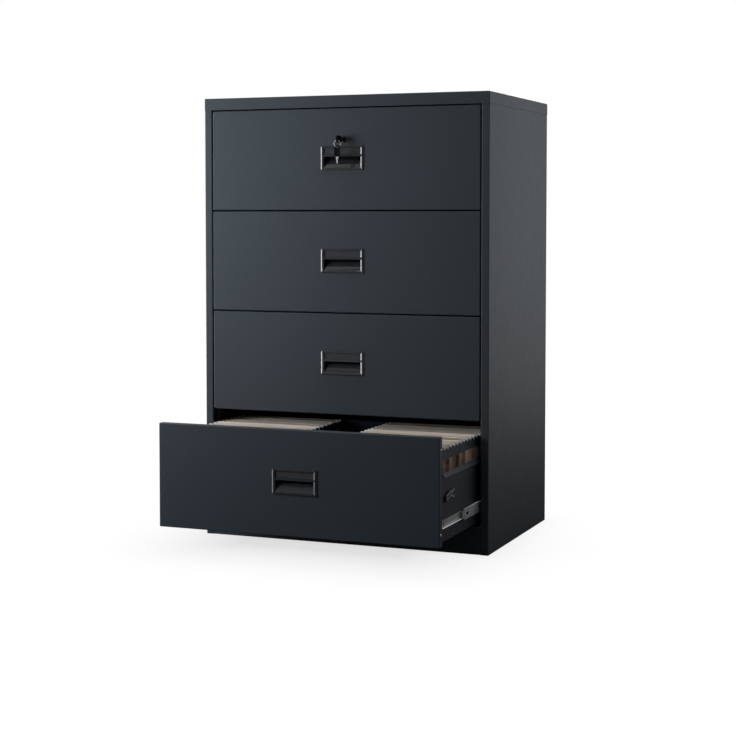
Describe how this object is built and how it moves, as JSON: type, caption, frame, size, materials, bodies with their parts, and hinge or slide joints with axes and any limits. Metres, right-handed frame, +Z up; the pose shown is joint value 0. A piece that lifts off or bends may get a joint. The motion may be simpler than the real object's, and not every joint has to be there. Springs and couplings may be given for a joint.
{
  "type": "lateral filing cabinet",
  "caption": "Tall steel lateral filing cabinet with stacked full-width drawers on telescopic slides, recessed handles, a key lock and rows of hanging files in the open bottom drawer.",
  "frame": {"origin": "on the floor under the middle of the cabinet's footprint, the open drawer not counted", "axes": "+Z up, -Y towards the drawers' front, +X to the right as seen from the front"},
  "size_m": [0.9, 0.9466, 1.32],
  "materials": {
    "powder_coat": "fine matt anthracite powder coat",
    "inner_coat": "matt anthracite coat on the drawer trays",
    "zinc": "bright zinc plated steel",
    "black_plastic": "satin black moulded plastic",
    "chrome": "polished nickel",
    "manila": "matt tan paper board"
  },
  "bodies": {
    "cabinet": {"side_panel_right": "powder_coat", "side_panel_left": "powder_coat", "top_cap": "powder_coat", "back_panel": "powder_coat", "base_pan": "powder_coat", "front_upright_right": "zinc", "front_upright_left": "zinc", "rear_upright_right": "zinc", "rear_upright_left": "zinc", "cabinet_slide_1_right": "zinc", "cabinet_slide_1_left": "zinc", "cabinet_slide_2_right": "zinc", "cabinet_slide_2_left": "zinc", "cabinet_slide_3_right": "zinc", "cabinet_slide_3_left": "zinc", "cabinet_slide_4_right": "zinc", "cabinet_slide_4_left": "zinc"},
    "interlock": {"interlock_bar": "zinc"},
    "drawer_1": {"front_1": "powder_coat", "tray_1": "inner_coat", "handle_1": "black_plastic", "file_rails_1": "inner_coat", "tray_slide_1_right": "zinc", "tray_slide_1_left": "zinc", "lock_barrel": "chrome"},
    "drawer_2": {"front_2": "powder_coat", "tray_2": "inner_coat", "handle_2": "black_plastic", "file_rails_2": "inner_coat", "tray_slide_2_right": "zinc", "tray_slide_2_left": "zinc"},
    "drawer_3": {"front_3": "powder_coat", "tray_3": "inner_coat", "handle_3": "black_plastic", "file_rails_3": "inner_coat", "tray_slide_3_right": "zinc", "tray_slide_3_left": "zinc"},
    "drawer_4": {"front_4": "powder_coat", "tray_4": "inner_coat", "handle_4": "black_plastic", "file_rails_4": "inner_coat", "tray_slide_4_right": "zinc", "tray_slide_4_left": "zinc", "file_row_right": "manila", "file_row_left": "manila"},
    "slides_1": {"middle_slide_1_right": "zinc", "middle_slide_1_left": "zinc"},
    "slides_2": {"middle_slide_2_right": "zinc", "middle_slide_2_left": "zinc"},
    "slides_3": {"middle_slide_3_right": "zinc", "middle_slide_3_left": "zinc"},
    "slides_4": {"middle_slide_4_right": "zinc", "middle_slide_4_left": "zinc"},
    "lock_plug": {"lock_plug": "chrome", "lock_key": "black_plastic"},
    "lock_rod": {"lock_rod": "zinc"},
    "key_bunch": {"key_ring": "chrome", "spare_key": "black_plastic"}
  },
  "joints": [
    {"name": "drawer_1_slide", "type": "slide", "parent": "cabinet", "child": "drawer_1", "axis": [0, -1, 0], "range_m": [0, 0.45]},
    {"name": "drawer_2_slide", "type": "slide", "parent": "cabinet", "child": "drawer_2", "axis": [0, -1, 0], "range_m": [0, 0.45]},
    {"name": "drawer_3_slide", "type": "slide", "parent": "cabinet", "child": "drawer_3", "axis": [0, -1, 0], "range_m": [0, 0.45]},
    {"name": "drawer_4_slide", "type": "slide", "parent": "cabinet", "child": "drawer_4", "axis": [0, -1, 0], "range_m": [-0.343, 0.107]},
    {"name": "slides_1_run", "type": "slide", "parent": "cabinet", "child": "slides_1", "axis": [0, -1, 0], "range_m": [0, 0.225]},
    {"name": "slides_2_run", "type": "slide", "parent": "cabinet", "child": "slides_2", "axis": [0, -1, 0], "range_m": [0, 0.225]},
    {"name": "slides_3_run", "type": "slide", "parent": "cabinet", "child": "slides_3", "axis": [0, -1, 0], "range_m": [0, 0.225]},
    {"name": "slides_4_run", "type": "slide", "parent": "cabinet", "child": "slides_4", "axis": [0, -1, 0], "range_m": [-0.1715, 0.0535]},
    {"name": "key_turn", "type": "hinge", "parent": "drawer_1", "child": "lock_plug", "pos_m": [0, -0.2993, 1.19115], "axis": [0, -1, 0], "range_deg": [0, 90]},
    {"name": "lock_rod_lift", "type": "slide", "parent": "drawer_1", "child": "lock_rod", "axis": [0, 0, 1], "range_m": [0, 0.012]},
    {"name": "key_ring_swing", "type": "hinge", "parent": "lock_plug", "child": "key_bunch", "pos_m": [0, -0.3378, 1.18665], "axis": [-1, 0, 0], "range_deg": [-25, 80]},
    {"name": "interlock_lift", "type": "slide", "parent": "cabinet", "child": "interlock", "axis": [0, 0, 1], "range_m": [0, 0.008]}
  ],
  "couplings": [
    {"joint": "slides_1_run", "follows": "drawer_1_slide", "ratio": 0.5},
    {"joint": "slides_2_run", "follows": "drawer_2_slide", "ratio": 0.5},
    {"joint": "slides_3_run", "follows": "drawer_3_slide", "ratio": 0.5},
    {"joint": "slides_4_run", "follows": "drawer_4_slide", "ratio": 0.5},
    {"joint": "lock_rod_lift", "follows": "key_turn", "m_per_rad": 0.0076394}
  ]
}
